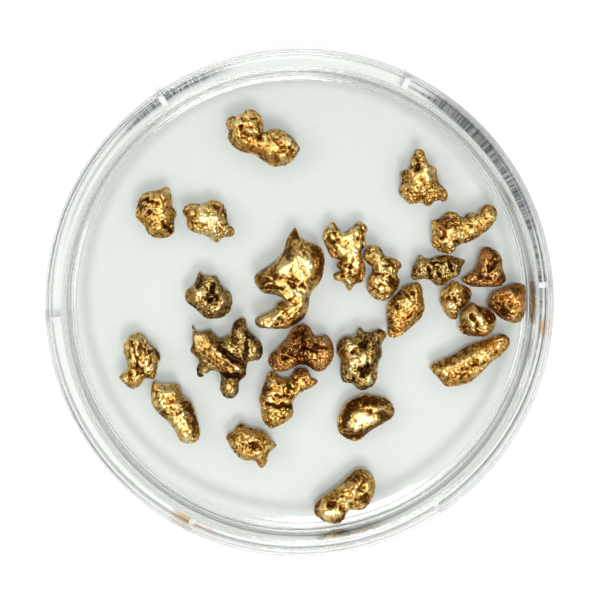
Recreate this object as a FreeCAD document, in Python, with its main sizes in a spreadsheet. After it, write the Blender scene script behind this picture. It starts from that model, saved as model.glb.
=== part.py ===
"""Round clear sample dish with loose gold nuggets, standing in its upturned lid.

Frame: +Z up, +X to the right, +Y away from the user.  The origin is the centre of the
circle on which the assembly stands.  All sizes are in millimetres.

The lid lies upside down and serves as a tray.  The dish stands in it, inside six low ribs
that keep the two side walls apart.  The nuggets lie loose on the floor of the dish.
"""

import FreeCAD, Part
import math
import os

import Sketcher

# Driving dimensions, all kept in the spreadsheet.
SIZES = {
    "lid_radius": 45.5,
    "lid_wall": 0.75,
    "lid_height": 8.9,
    "lid_plate": 0.75,
    "lid_ring_height": 0.35,
    "lid_ring_outer": 41.6,
    "lid_ring_width": 0.9,
    "lid_corner": 0.6,
    "rib_length": 2.2,
    "rib_width": 0.5,
    "rib_rise": 1.6,
    "rib_count": 6,
    "rib_turn": 64.0,
    "dish_radius": 42.1,
    "dish_wall": 0.65,
    "dish_height": 14.5,
    "dish_floor": 1.1,
    "dish_foot_height": 0.35,
    "dish_foot_width": 1.2,
    "dish_corner": 0.9,
    "edge_round": 0.2,
    "rest_gap": 0.03,
    "kidney_thickness": 4.8,
    "pear_thickness": 4.2,
    "heel_thickness": 4.0,
    "slab_thickness": 3.6,
    "boot_thickness": 4.2,
    "great_thickness": 6.0,
    "star_thickness": 3.6,
    "claw_thickness": 4.0,
    "leaf_thickness": 3.4,
    "olive_thickness": 3.4,
    "wedge_thickness": 4.0,
    "block_thickness": 4.2,
    "bean_thickness": 3.4,
    "tooth_thickness": 4.2,
    "finger_thickness": 4.0,
    "knob_thickness": 4.4,
    "branch_thickness": 4.2,
    "crusty_thickness": 4.4,
    "hook_thickness": 4.0,
    "pitted_thickness": 4.6,
    "half_moon_thickness": 4.0,
    "clover_thickness": 3.8,
    "tongue_thickness": 4.2,
    "berry_thickness": 4.0,
    "peanut_thickness": 4.6,
}

# Every nugget is lofted through the same levels: the share of its thickness at which the
# level lies, and how far its outline is drawn in towards the spine, the nugget's ridge.
LEVELS = ((0.0, 0.36), (0.16, 0.10), (0.38, 0.0), (0.64, 0.10), (0.86, 0.32), (1.0, 0.60))

# Plan outline of each nugget at its widest level, and the line of its ridge.
NUGGETS = {
    "kidney": {
        "outline": (
            (0.0, 27.5), (-0.5, 26.7), (-1.9, 25.2), (-3.8, 24.6), (-5.7, 25.1), (-8.0, 26.7),
            (-10.6, 27.4), (-12.8, 29.5), (-12.8, 31.0), (-13.2, 32.3), (-12.6, 33.4),
            (-11.0, 33.7), (-9.3, 34.7), (-7.7, 34.3), (-6.6, 32.6), (-6.5, 30.6),
            (-5.3, 31.2), (-3.1, 31.0), (-1.1, 29.5),
        ),
        "spine": ((-9.8, 31.4), (-6.4, 28.5), (-3.0, 27.8)),
    },
    "pear": {
        "outline": (
            (21.6, 27.7), (22.5, 27.0), (22.7, 26.0), (23.6, 24.9), (24.6, 24.2), (24.8, 22.7),
            (25.5, 21.2), (26.6, 20.0), (26.3, 18.4), (24.6, 18.5), (23.3, 17.4), (22.0, 18.2),
            (20.5, 17.8), (19.0, 18.7), (18.0, 20.2), (18.5, 22.2), (18.4, 23.6), (19.8, 24.2),
            (20.3, 25.8), (20.8, 27.1),
        ),
        "spine": ((21.6, 26.4), (21.8, 23.4), (21.9, 20.8)),
    },
    "heel": {
        "outline": (
            (-23.6, 20.7), (-23.2, 19.2), (-22.9, 17.2), (-22.3, 16.2), (-22.7, 14.9),
            (-22.6, 13.5), (-23.3, 12.2), (-25.6, 11.8), (-27.2, 12.6), (-28.2, 14.2),
            (-29.4, 15.5), (-29.2, 17.4), (-28.7, 18.9), (-27.4, 20.0), (-25.4, 20.3),
        ),
        "spine": ((-26.0, 17.8), (-25.4, 14.8)),
    },
    "slab": {
        "outline": (
            (-11.8, 12.9), (-12.4, 12.0), (-13.8, 11.8), (-15.0, 10.9), (-16.3, 11.9),
            (-18.2, 12.6), (-20.1, 13.6), (-20.3, 15.2), (-21.0, 16.4), (-20.3, 17.6),
            (-18.4, 17.8), (-16.9, 18.0), (-16.0, 18.5), (-13.9, 17.8), (-13.2, 16.2),
            (-12.9, 14.2),
        ),
        "spine": ((-18.4, 15.6), (-14.8, 13.8)),
    },
    "boot": {
        "outline": (
            (35.6, 16.4), (35.4, 15.0), (34.0, 13.2), (32.2, 11.9), (30.2, 10.9), (28.5, 10.3),
            (27.8, 9.3), (26.5, 8.9), (25.0, 9.6), (23.9, 10.8), (24.0, 12.6), (24.1, 14.7),
            (25.5, 15.3), (26.8, 16.3), (28.4, 16.1), (29.6, 15.3), (30.9, 16.2), (32.2, 16.1),
            (33.2, 17.3), (34.8, 17.6),
        ),
        "spine": ((26.2, 12.2), (29.6, 13.2), (34.0, 15.6)),
    },
    "great": {
        "outline": (
            (-0.6, 13.4), (0.1, 12.1), (1.6, 11.0), (3.6, 10.1), (4.5, 8.1), (4.3, 6.0),
            (3.7, 3.9), (2.2, 2.1), (1.7, 0.4), (1.5, -1.2), (0.6, -2.8), (-0.9, -3.9),
            (-2.6, -4.6), (-5.6, -4.6), (-7.6, -4.1), (-7.9, -2.9), (-6.4, -2.0), (-4.8, -1.2),
            (-3.9, 0.0), (-2.7, 0.5), (-3.9, 1.4), (-6.2, 1.8), (-7.4, 2.6), (-8.2, 4.0),
            (-7.8, 5.2), (-5.6, 6.7), (-3.4, 8.5), (-2.6, 10.2), (-1.8, 12.4),
        ),
        "spine": ((-6.0, 4.2), (-0.6, 6.4), (1.2, 7.6), (0.6, 4.2), (-0.4, 0.4), (-2.4, -2.6), (-5.4, -3.4)),
    },
    "star": {
        "outline": (
            (6.3, 14.4), (7.2, 13.2), (8.1, 12.6), (9.4, 13.5), (11.0, 14.6), (12.2, 13.4),
            (11.8, 12.2), (11.9, 10.4), (11.2, 9.4), (11.3, 8.2), (11.8, 7.0), (11.8, 5.2),
            (11.3, 3.8), (10.0, 3.4), (9.0, 2.2), (7.9, 3.6), (6.4, 4.2), (6.5, 5.4),
            (7.6, 5.6), (6.8, 6.7), (7.8, 7.8), (6.4, 7.9), (5.2, 9.4), (4.3, 11.6), (4.7, 13.2),
        ),
        "spine": ((6.6, 12.2), (8.6, 10.6), (9.9, 7.6), (9.4, 4.4), (9.9, 7.6), (10.4, 12.4)),
    },
    "claw": {
        "outline": (
            (13.4, 10.3), (14.8, 9.6), (15.4, 8.5), (17.2, 7.9), (18.4, 6.6), (17.6, 5.3),
            (18.1, 3.9), (17.3, 2.0), (16.2, 0.9), (14.8, 0.4), (13.0, 1.3), (12.2, 3.0),
            (12.9, 4.9), (13.4, 6.2), (12.2, 7.3), (11.6, 8.9), (12.3, 9.9),
        ),
        "spine": ((13.2, 8.7), (15.8, 6.8), (15.6, 4.4), (14.8, 2.8)),
    },
    "leaf": {
        "outline": (
            (20.6, 3.5), (21.9, 3.2), (22.3, 1.2), (22.6, -0.9), (21.9, -2.8), (20.0, -4.6),
            (18.2, -6.1), (16.4, -6.2), (16.0, -4.2), (15.9, -1.8), (16.4, 0.2), (17.7, 1.5),
            (18.9, 2.8),
        ),
        "spine": ((20.2, 0.8), (18.2, -3.2)),
    },
    "olive": {
        "outline": (
            (22.2, 8.4), (23.9, 7.9), (25.3, 8.4), (27.4, 8.4), (28.7, 8.0), (29.9, 7.6),
            (29.3, 6.4), (28.9, 5.0), (27.2, 4.2), (26.2, 3.2), (24.9, 3.2), (23.9, 3.9),
            (22.4, 4.3), (20.6, 4.2), (20.5, 6.0), (21.2, 7.6),
        ),
        "spine": ((22.2, 6.2), (27.2, 6.4)),
    },
    "wedge": {
        "outline": (
            (33.8, 10.1), (35.3, 9.5), (36.6, 8.0), (36.7, 6.2), (37.3, 4.2), (36.3, 3.1),
            (34.4, 2.9), (32.0, 2.9), (30.4, 3.3), (29.6, 4.3), (31.2, 5.4), (32.2, 6.8),
            (32.6, 8.6),
        ),
        "spine": ((34.4, 8.0), (34.6, 5.2), (31.8, 4.2)),
    },
    "block": {
        "outline": (
            (35.7, 2.1), (37.4, 2.8), (39.0, 3.4), (40.7, 3.1), (40.9, 1.6), (41.0, -0.4),
            (40.7, -2.2), (39.6, -3.6), (38.0, -3.4), (36.4, -2.7), (35.4, -1.7), (34.4, -0.9),
            (34.5, 0.6),
        ),
        "spine": ((37.2, 0.4), (38.8, -0.8)),
    },
    "bean": {
        "outline": (
            (28.4, 3.8), (29.9, 3.0), (31.0, 2.2), (31.0, 0.8), (29.8, -0.7), (28.8, -1.6),
            (28.5, -2.9), (27.3, -2.8), (26.2, -1.3), (25.6, 0.2), (26.0, 2.2), (27.2, 3.2),
        ),
        "spine": ((28.8, 1.6), (27.4, -0.6)),
    },
    "tooth": {
        "outline": (
            (33.0, -0.9), (34.5, -1.4), (35.6, -2.9), (35.2, -4.6), (33.9, -6.0), (31.8, -6.1),
            (29.9, -5.7), (28.9, -4.5), (29.2, -3.2), (29.2, -1.9), (30.3, -0.8), (31.5, -0.1),
        ),
        "spine": ((31.2, -2.4), (33.0, -4.0)),
    },
    "finger": {
        "outline": (
            (37.4, -6.0), (38.1, -7.2), (37.2, -8.9), (35.2, -10.5), (33.2, -12.4), (31.4, -14.2),
            (29.4, -14.9), (26.6, -15.1), (25.2, -13.6), (23.7, -11.9), (25.4, -10.6),
            (28.6, -9.2), (30.6, -7.9), (34.0, -6.8),
        ),
        "spine": ((26.8, -12.4), (30.8, -11.4), (36.4, -7.4)),
    },
    "knob": {
        "outline": (
            (-17.9, 5.5), (-16.6, 4.9), (-15.0, 4.7), (-14.2, 3.2), (-12.6, 1.8), (-12.2, 0.0),
            (-13.0, -1.9), (-15.0, -2.8), (-17.0, -2.6), (-18.9, -0.9), (-20.4, 0.4),
            (-20.4, 2.2), (-18.9, 3.5),
        ),
        "spine": ((-17.0, 3.0), (-17.4, 0.8), (-15.0, 0.2)),
    },
    "branch": {
        "outline": (
            (-19.3, -4.2), (-18.2, -5.3), (-16.0, -5.1), (-14.6, -6.5), (-12.5, -5.4),
            (-11.9, -3.8), (-10.1, -2.8), (-9.4, -4.8), (-7.8, -6.4), (-6.7, -8.4), (-7.5, -10.3),
            (-9.4, -10.8), (-9.8, -13.1), (-10.9, -14.2), (-11.2, -16.3), (-12.7, -17.3),
            (-14.3, -15.8), (-14.2, -13.2), (-15.8, -12.2), (-17.9, -13.4), (-18.6, -12.2),
            (-18.2, -10.3), (-19.6, -8.8), (-19.3, -6.6),
        ),
        "spine": (
            (-18.4, -6.4), (-16.4, -9.2), (-12.6, -9.4), (-12.6, -15.2), (-12.2, -10.2),
            (-10.8, -5.2), (-11.4, -9.2), (-8.8, -8.4),
        ),
    },
    "crusty": {
        "outline": (
            (0.5, -4.0), (2.0, -4.8), (3.0, -6.2), (4.8, -6.0), (6.1, -8.1), (5.8, -10.4),
            (3.7, -12.4), (1.4, -11.4), (-0.2, -11.2), (-1.8, -12.0), (-4.4, -12.2),
            (-5.6, -10.4), (-4.4, -8.7), (-2.4, -6.6), (-1.2, -4.8),
        ),
        "spine": ((-3.0, -10.2), (0.8, -8.2), (3.6, -9.4)),
    },
    "hook": {
        "outline": (
            (-4.5, -12.6), (-3.3, -13.6), (-1.8, -13.7), (-0.9, -12.4), (0.4, -11.9), (1.7, -12.6),
            (2.1, -13.6), (3.3, -14.2), (1.9, -15.4), (0.0, -16.4), (-1.3, -18.2), (-1.2, -20.2),
            (-3.2, -22.0), (-5.1, -22.7), (-6.6, -21.4), (-6.9, -19.2), (-7.2, -17.2),
            (-6.3, -14.8), (-5.8, -13.2),
        ),
        "spine": ((-4.2, -20.2), (-4.4, -16.0), (-1.2, -15.4), (1.2, -13.9)),
    },
    "pitted": {
        "outline": (
            (11.2, -4.7), (12.8, -5.4), (14.6, -4.9), (15.7, -5.8), (14.8, -7.4), (14.9, -9.2),
            (14.1, -11.4), (14.0, -13.6), (12.7, -15.4), (10.7, -15.7), (9.5, -14.6),
            (7.9, -14.2), (7.5, -12.2), (7.5, -10.4), (6.7, -8.8), (7.4, -6.9), (8.6, -6.1),
            (10.1, -5.8),
        ),
        "spine": ((9.6, -8.4), (11.8, -8.0), (10.8, -13.0)),
    },
    "half_moon": {
        "outline": (
            (12.4, -16.7), (14.6, -17.1), (16.6, -18.2), (17.1, -20.3), (15.4, -21.8),
            (12.8, -23.4), (10.6, -25.0), (8.4, -24.6), (6.9, -22.6), (7.6, -19.8), (9.0, -17.9),
        ),
        "spine": ((9.8, -22.0), (14.2, -19.8)),
    },
    "clover": {
        "outline": (
            (-29.7, -5.6), (-28.0, -6.2), (-27.1, -7.6), (-26.0, -8.4), (-25.2, -9.8),
            (-25.9, -12.0), (-26.4, -13.7), (-27.8, -13.6), (-28.7, -14.6), (-30.2, -15.5),
            (-31.6, -14.6), (-32.6, -13.4), (-31.3, -12.2), (-31.4, -9.8), (-31.7, -7.4),
        ),
        "spine": ((-29.6, -7.6), (-28.6, -10.4), (-26.8, -11.0), (-28.6, -10.4), (-30.2, -13.4)),
    },
    "tongue": {
        "outline": (
            (-26.2, -14.4), (-24.0, -14.8), (-21.9, -15.0), (-21.1, -17.0), (-19.9, -17.9),
            (-18.9, -20.2), (-18.3, -22.4), (-18.3, -24.7), (-20.2, -25.5), (-21.7, -24.8),
            (-22.7, -22.8), (-24.6, -20.8), (-26.5, -18.6), (-26.8, -16.4),
        ),
        "spine": ((-24.2, -17.2), (-20.4, -22.8)),
    },
    "berry": {
        "outline": (
            (-10.3, -22.0), (-8.4, -23.0), (-6.4, -23.6), (-5.2, -24.9), (-4.3, -25.9),
            (-5.5, -27.1), (-6.0, -29.0), (-7.0, -29.9), (-8.1, -28.7), (-9.6, -28.6),
            (-11.3, -27.7), (-12.4, -26.2), (-13.2, -24.3), (-12.0, -23.3),
        ),
        "spine": ((-10.4, -24.6), (-7.6, -26.0)),
    },
    "peanut": {
        "outline": (
            (11.2, -30.3), (13.0, -31.2), (13.7, -33.0), (13.0, -35.9), (11.0, -37.7),
            (9.0, -37.6), (8.2, -39.1), (6.6, -40.2), (4.0, -39.4), (2.7, -38.0), (3.4, -36.1),
            (5.8, -34.3), (7.9, -32.6), (9.6, -31.0),
        ),
        "spine": ((5.4, -37.6), (8.6, -35.6), (11.4, -33.2)),
    },
}

doc = FreeCAD.newDocument("sample_dish")
sheet = doc.addObject("Spreadsheet::Sheet", "Sizes")


def fill_sheet():
    """Write every driving dimension to the sheet, one to a row, and give its cell an alias."""
    for row, (alias, value) in enumerate(SIZES.items(), start=1):
        sheet.set(f"A{row}", alias.replace("_", " "))
        sheet.set(f"B{row}", str(value))
        sheet.setAlias(f"B{row}", alias)
    doc.recompute()


def new_body(label):
    """A body whose Label is the name of the sub-part."""
    body = doc.addObject("PartDesign::Body", label)
    body.Label = label
    return body


def origin_plane(body, role):
    """The origin plane of a body that has the given role, such as XY_Plane."""
    return next(item for item in body.Origin.OriginFeatures if item.Role == role)


def flat_sketch(body, name, height=None):
    """An empty sketch parallel to the body's XY plane, at a height given as an expression."""
    sketch = body.newObject("Sketcher::SketchObject", name)
    sketch.AttachmentSupport = [(origin_plane(body, "XY_Plane"), "")]
    sketch.MapMode = "FlatFace"
    if height is not None:
        sketch.setExpression("AttachmentOffset.Base.z", height)
    return sketch


def circle_sketch(body, name, radii, height=None):
    """A sketch of circles about the axis, each radius bound to an expression."""
    sketch = flat_sketch(body, name, height)
    for index, radius in enumerate(radii):
        circle = Part.Circle(FreeCAD.Vector(0, 0, 0), FreeCAD.Vector(0, 0, 1), 10 + index)
        sketch.addGeometry(circle, False)
        sketch.addConstraint(Sketcher.Constraint("Coincident", index, 3, -1, 1))
        sketch.addConstraint(Sketcher.Constraint("Radius", index, 10 + index))
        constraint = sketch.ConstraintCount - 1
        sketch.renameConstraint(constraint, f"radius_{index}")
        sketch.setExpression(f"Constraints.radius_{index}", radius)
    return sketch


def pad(body, name, sketch, length):
    """A pad upwards from the sketch, its length bound to an expression."""
    feature = body.newObject("PartDesign::Pad", name)
    feature.Profile = sketch
    feature.setExpression("Length", length)
    doc.recompute()
    return feature


def pocket(body, name, sketch, depth, upwards):
    """A pocket from the sketch, checked to have taken material away."""
    before = body.Shape.Volume
    feature = body.newObject("PartDesign::Pocket", name)
    feature.Profile = sketch
    feature.Reversed = upwards
    feature.setExpression("Length", depth)
    doc.recompute()
    if feature.Shape.Volume >= before:
        raise RuntimeError(f"{body.Label}: {name} cut nothing")
    return feature


def ring_edges(shape, radius, height):
    """Names of the full circles about the axis with this radius, at this height."""
    names = []
    for index, edge in enumerate(shape.Edges, start=1):
        is_circle = isinstance(edge.Curve, Part.Circle)
        if is_circle and math.isclose(edge.Curve.Radius, radius, abs_tol=1e-4):
            if math.isclose(edge.Curve.Center.z, height, abs_tol=1e-4):
                names.append(f"Edge{index}")
    return names


def fillet(body, name, base, circles, radius):
    """A fillet on circular edges, each given as its radius and height."""
    edges = [edge for circle in circles for edge in ring_edges(base.Shape, *circle)]
    if len(edges) < len(circles):
        raise RuntimeError(f"{body.Label}: {name} did not find its edges")
    feature = body.newObject("PartDesign::Fillet", name)
    feature.Base = (base, edges)
    feature.setExpression("Radius", radius)
    doc.recompute()
    return feature


def make_lid():
    """The lid, lying upside down with its rim up: plate, side wall, stacking ring and ribs."""
    body = new_body("lid")
    ring = SIZES["lid_ring_height"]
    plate_top = ring + SIZES["lid_plate"]
    outer = SIZES["lid_radius"]
    inner = outer - SIZES["lid_wall"]
    disc = circle_sketch(body, "lid_disc", ["Sizes.lid_radius"], "Sizes.lid_ring_height")
    pad(body, "lid_blank", disc, "Sizes.lid_height - Sizes.lid_ring_height")
    mouth = circle_sketch(body, "lid_mouth", ["Sizes.lid_radius - Sizes.lid_wall"], "Sizes.lid_height")
    pocket(body, "lid_hollow", mouth, "Sizes.lid_height - Sizes.lid_ring_height - Sizes.lid_plate", False)
    ring_radii = ["Sizes.lid_ring_outer", "Sizes.lid_ring_outer - Sizes.lid_ring_width"]
    stacking_ring = circle_sketch(body, "stacking_ring_section", ring_radii)
    shell = pad(body, "stacking_ring", stacking_ring, "Sizes.lid_ring_height")
    rim = ((outer, SIZES["lid_height"]), (inner, SIZES["lid_height"]))
    shell = fillet(body, "lid_rim_round", shell, rim, "Sizes.edge_round")
    shell = fillet(body, "lid_outer_corner", shell, ((outer, ring),), "Sizes.lid_corner")
    shell = fillet(body, "lid_inner_corner", shell, ((inner, plate_top),), "Sizes.edge_round")
    add_ribs(body)


def add_ribs(body):
    """Low ribs in the corner of the lid that hold the dish in the middle."""
    sketch = flat_sketch(body, "rib_section", "Sizes.lid_ring_height + Sizes.lid_plate / 2")
    sketch.setExpression("AttachmentOffset.Rotation.Angle", "Sizes.rib_turn")
    near = SIZES["lid_radius"] - SIZES["lid_wall"] / 2 - SIZES["rib_length"]
    far = SIZES["lid_radius"] - SIZES["lid_wall"] / 2
    half = SIZES["rib_width"] / 2
    corners = [(near, -half), (far, -half), (far, half), (near, half)]
    points = [FreeCAD.Vector(x, y, 0) for x, y in corners]
    for index, point in enumerate(points):
        sketch.addGeometry(Part.LineSegment(point, points[(index + 1) % 4]), False)
    for index in range(4):
        sketch.addConstraint(Sketcher.Constraint("Coincident", index, 2, (index + 1) % 4, 1))
    for index in (0, 2):
        sketch.addConstraint(Sketcher.Constraint("Horizontal", index))
    for index in (1, 3):
        sketch.addConstraint(Sketcher.Constraint("Vertical", index))
    driven = {
        "far_x": (("DistanceX", -1, 1, 1, 1, far), "Sizes.lid_radius - Sizes.lid_wall / 2"),
        "length": (("DistanceX", 0, 1, 0, 2, far - near), "Sizes.rib_length"),
        "width": (("DistanceY", 1, 1, 1, 2, 2 * half), "Sizes.rib_width"),
        "low_y": (("DistanceY", 0, 2, -1, 1, half), "Sizes.rib_width / 2"),
    }
    for name, (constraint, expression) in driven.items():
        sketch.addConstraint(Sketcher.Constraint(*constraint))
        sketch.renameConstraint(sketch.ConstraintCount - 1, name)
        sketch.setExpression(f"Constraints.{name}", expression)
    rib = pad(body, "rib", sketch, "Sizes.lid_plate / 2 + Sizes.rib_rise")
    pattern = body.newObject("PartDesign::PolarPattern", "ribs")
    pattern.Originals = [rib]
    pattern.Axis = (sketch, ["N_Axis"])
    pattern.Angle = 360
    pattern.setExpression("Occurrences", "Sizes.rib_count")
    body.Tip = pattern
    doc.recompute()


def make_dish():
    """The open dish that holds the nuggets: floor, side wall and a low foot ring."""
    body = new_body("dish")
    outer = SIZES["dish_radius"]
    inner = outer - SIZES["dish_wall"]
    height = SIZES["dish_height"]
    foot = SIZES["dish_foot_height"]
    floor_top = foot + SIZES["dish_floor"]
    disc = circle_sketch(body, "dish_disc", ["Sizes.dish_radius"])
    pad(body, "dish_blank", disc, "Sizes.dish_height")
    mouth = circle_sketch(body, "dish_mouth", ["Sizes.dish_radius - Sizes.dish_wall"], "Sizes.dish_height")
    depth = "Sizes.dish_height - Sizes.dish_foot_height - Sizes.dish_floor"
    pocket(body, "dish_hollow", mouth, depth, False)
    recess = circle_sketch(body, "dish_recess", ["Sizes.dish_radius - Sizes.dish_foot_width"])
    shell = pocket(body, "dish_foot_recess", recess, "Sizes.dish_foot_height", True)
    shell = fillet(body, "dish_inner_corner", shell, ((inner, floor_top),), "Sizes.dish_corner")
    rim = ((outer, height), (inner, height))
    shell = fillet(body, "dish_rim_round", shell, rim, "Sizes.edge_round")
    fillet(body, "dish_outer_corner", shell, ((outer, 0.0),), "Sizes.edge_round")
    body.setExpression("Placement.Base.z", "Sizes.lid_ring_height + Sizes.lid_plate + Sizes.rest_gap")
    doc.recompute()


def nearest_on_segment(point, start, end):
    """The point of a straight segment that is nearest to a given point."""
    run = (end[0] - start[0], end[1] - start[1])
    reach = (point[0] - start[0]) * run[0] + (point[1] - start[1]) * run[1]
    share = min(1.0, max(0.0, reach / (run[0] ** 2 + run[1] ** 2)))
    return start[0] + share * run[0], start[1] + share * run[1]


def nearest_on_spine(point, spine):
    """The point of the spine that is nearest to a given point."""
    candidates = [nearest_on_segment(point, a, b) for a, b in zip(spine, spine[1:])]
    return min(candidates, key=lambda candidate: math.dist(point, candidate))


def drawn_in(outline, spine, pull):
    """The outline with every point moved towards the spine by a share of its distance."""
    moved = []
    for point in outline:
        target = nearest_on_spine(point, spine)
        x = point[0] + pull * (target[0] - point[0])
        y = point[1] + pull * (target[1] - point[1])
        moved.append(FreeCAD.Vector(x, y, 0))
    return moved


def closed_curve(points, knots):
    """A smooth closed curve through the points, with the knots that all levels share."""
    curve = Part.BSplineCurve()
    curve.interpolate(Points=points, PeriodicFlag=True, Parameters=knots)
    return curve


def outline_knots(outline):
    """Parameters of a closed curve, spaced by the square root of the steps between points."""
    knots = [0.0]
    for index, point in enumerate(outline):
        following = outline[(index + 1) % len(outline)]
        knots.append(knots[-1] + math.sqrt(math.dist(point, following)))
    return knots


def make_nugget(name, outline, spine):
    """One nugget: a loft through its levels, resting on the floor of the dish."""
    body = new_body(f"{name}_nugget")
    knots = outline_knots(outline)
    sketches = []
    for number, (share, pull) in enumerate(LEVELS):
        height = f"Sizes.{name}_thickness * {share}"
        sketch = flat_sketch(body, f"{name}_level_{number}", height)
        sketch.addGeometry(closed_curve(drawn_in(outline, spine, pull), knots), False)
        sketches.append(sketch)
    loft = body.newObject("PartDesign::AdditiveLoft", f"{name}_lump")
    loft.Profile = sketches[0]
    loft.Sections = sketches[1:]
    standing = "Sizes.lid_ring_height + Sizes.lid_plate + Sizes.dish_foot_height"
    body.setExpression("Placement.Base.z", f"{standing} + Sizes.dish_floor + 2 * Sizes.rest_gap")
    doc.recompute()


def check_document(bodies):
    """Stop if any object failed or any sub-part is not one valid closed solid."""
    for item in doc.Objects:
        if "Invalid" in item.State or "Error" in item.State:
            raise RuntimeError(f"{item.Label} failed: {item.State}")
    for body in bodies:
        shape = body.Shape
        if shape.isNull() or not shape.isValid() or len(shape.Solids) != 1:
            raise RuntimeError(f"{body.Label} is not one valid solid")


fill_sheet()
make_lid()
make_dish()
for nugget_name, nugget in NUGGETS.items():
    make_nugget(nugget_name, nugget["outline"], nugget["spine"])
doc.recompute()

sub_parts = [item for item in doc.Objects if item.TypeId == "PartDesign::Body"]
check_document(sub_parts)
os.makedirs("parts", exist_ok=True)
for sub_part in sub_parts:
    sub_part.Shape.exportStep(f"parts/{sub_part.Label}.step")
print(len(sub_parts), "sub-parts written")
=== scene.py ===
"""Looks of the round clear sample dish with its loose gold nuggets.

Each nugget starts from its CAD lump, gets a fine mesh and then relief in three sizes: the
marks listed for it, rounded lumps with creases between them, and grain.  The dish and the
lid are turned profiles of clear plastic.  Lengths are in millimetres until a mesh is made.
"""

import math

import bmesh
import bpy
import numpy as np
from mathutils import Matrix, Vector, noise


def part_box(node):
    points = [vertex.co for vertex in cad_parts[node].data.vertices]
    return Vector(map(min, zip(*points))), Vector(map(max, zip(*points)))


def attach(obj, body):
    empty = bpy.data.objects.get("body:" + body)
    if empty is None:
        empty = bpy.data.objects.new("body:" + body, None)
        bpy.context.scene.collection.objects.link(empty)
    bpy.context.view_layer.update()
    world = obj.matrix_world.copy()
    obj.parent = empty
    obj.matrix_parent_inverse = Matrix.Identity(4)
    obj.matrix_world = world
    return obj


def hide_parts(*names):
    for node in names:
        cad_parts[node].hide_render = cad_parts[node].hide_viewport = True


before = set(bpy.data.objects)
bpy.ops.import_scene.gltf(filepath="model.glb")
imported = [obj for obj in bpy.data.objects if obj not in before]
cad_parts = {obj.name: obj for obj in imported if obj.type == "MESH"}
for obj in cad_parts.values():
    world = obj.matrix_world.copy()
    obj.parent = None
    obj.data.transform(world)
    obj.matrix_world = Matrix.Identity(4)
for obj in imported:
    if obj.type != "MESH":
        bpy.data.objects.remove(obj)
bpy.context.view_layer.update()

MM = 0.001

# How much higher a nugget's top is over its middle than at its ends, as a share of its thickness.
CROWN = 0.16

VOXEL = 0.10

# How far a nugget's relief may stand out past its CAD lump, so that close ones stay apart.
MOST_OUT = 0.10

# Sizes of the two mouldings that their boxes don't give.
DISH_WALL = 0.65
DISH_FOOT = 0.35
DISH_FLOOR = 1.1
LID_WALL = 0.75
LID_PLATE = 0.75
LID_RING_RISE = 0.35
LID_RING_OUTER = 41.6
LID_RING_WIDTH = 0.9
RIB_COUNT = 6
RIB_TURN = 64.0
RIB_RISE = 1.6
RIB_WIDTH = 1.0
RIB_LENGTH = 2.2
TURNED_STEPS = 480


# ---------------------------------------------------------------- helpers


def link(mesh, name):
    """A new object with this mesh, in the scene."""
    made = bpy.data.objects.new(name, mesh)
    bpy.context.scene.collection.objects.link(made)
    return made


def smooth_shaded(mesh):
    """Shade every face of the mesh smoothly."""
    mesh.polygons.foreach_set("use_smooth", [True] * len(mesh.polygons))
    return mesh


def arc(centre_r, centre_z, radius, start, end, steps=6):
    """Points of an arc in the turned profile's plane, with angles in degrees."""
    points = []
    for step in range(steps + 1):
        angle = math.radians(start + (end - start) * step / steps)
        points.append((centre_r + radius * math.cos(angle), centre_z + radius * math.sin(angle)))
    return points


def turned(name, profile):
    """A closed round solid: the profile, from axis to axis, turned about +Z."""
    mesh = bpy.data.meshes.new(name)
    solid = bmesh.new()
    points = [solid.verts.new((r * MM, 0.0, z * MM)) for r, z in profile]
    edges = [solid.edges.new(pair) for pair in zip(points, points[1:])]
    bmesh.ops.spin(
        solid, geom=points + edges, cent=(0, 0, 0), axis=(0, 0, 1),
        angle=2 * math.pi, steps=TURNED_STEPS, use_merge=True,
    )
    bmesh.ops.remove_doubles(solid, verts=solid.verts, dist=1e-7)
    bmesh.ops.recalc_face_normals(solid, faces=solid.faces)
    solid.to_mesh(mesh)
    solid.free()
    smooth_shaded(mesh)
    mesh.set_sharp_from_angle(angle=math.radians(40))
    return link(mesh, name)


# ---------------------------------------------------------------- node material helpers


def new_material(name):
    """An empty node material and a function that adds a node with inputs to it."""
    material = bpy.data.materials.new(name)
    material.use_nodes = True
    tree = material.node_tree
    tree.nodes.clear()

    def add(kind, inputs=None, **settings):
        node = tree.nodes.new(kind)
        for key, value in settings.items():
            setattr(node, key, value)
        for key, value in (inputs or {}).items():
            if isinstance(value, bpy.types.NodeSocket):
                tree.links.new(value, node.inputs[key])
            else:
                node.inputs[key].default_value = value
        return node

    return material, add


def ramp(add, factor, stops):
    """A colour ramp through the given (position, colour) stops."""
    node = add("ShaderNodeValToRGB", {"Fac": factor})
    elements = node.color_ramp.elements
    while len(elements) < len(stops):
        elements.new(0.5)
    for element, (position, colour) in zip(elements, stops):
        element.position = position
        element.color = (*colour, 1.0)
    return node.outputs["Color"]


def noise_of(add, scale, detail=2.0, rough=0.5, where=None, seed=0.0):
    """The value of a noise texture in the piece's own space; scale is in cells per metre."""
    if where is None:
        where = add("ShaderNodeTexCoord").outputs["Object"]
    inputs = {"Vector": where, "W": seed, "Scale": scale, "Detail": detail, "Roughness": rough}
    return add("ShaderNodeTexNoise", inputs, noise_dimensions="4D").outputs["Fac"]


def mixed(add, factor, first, second):
    """Two colours mixed by a factor."""
    node = add("ShaderNodeMix", data_type="RGBA")
    values = {0: factor, 6: first, 7: second}
    for index, value in values.items():
        if isinstance(value, bpy.types.NodeSocket):
            node.id_data.links.new(value, node.inputs[index])
        elif index == 0:
            node.inputs[index].default_value = value
        else:
            node.inputs[index].default_value = (*value, 1.0)
    return node.outputs[2]


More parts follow.
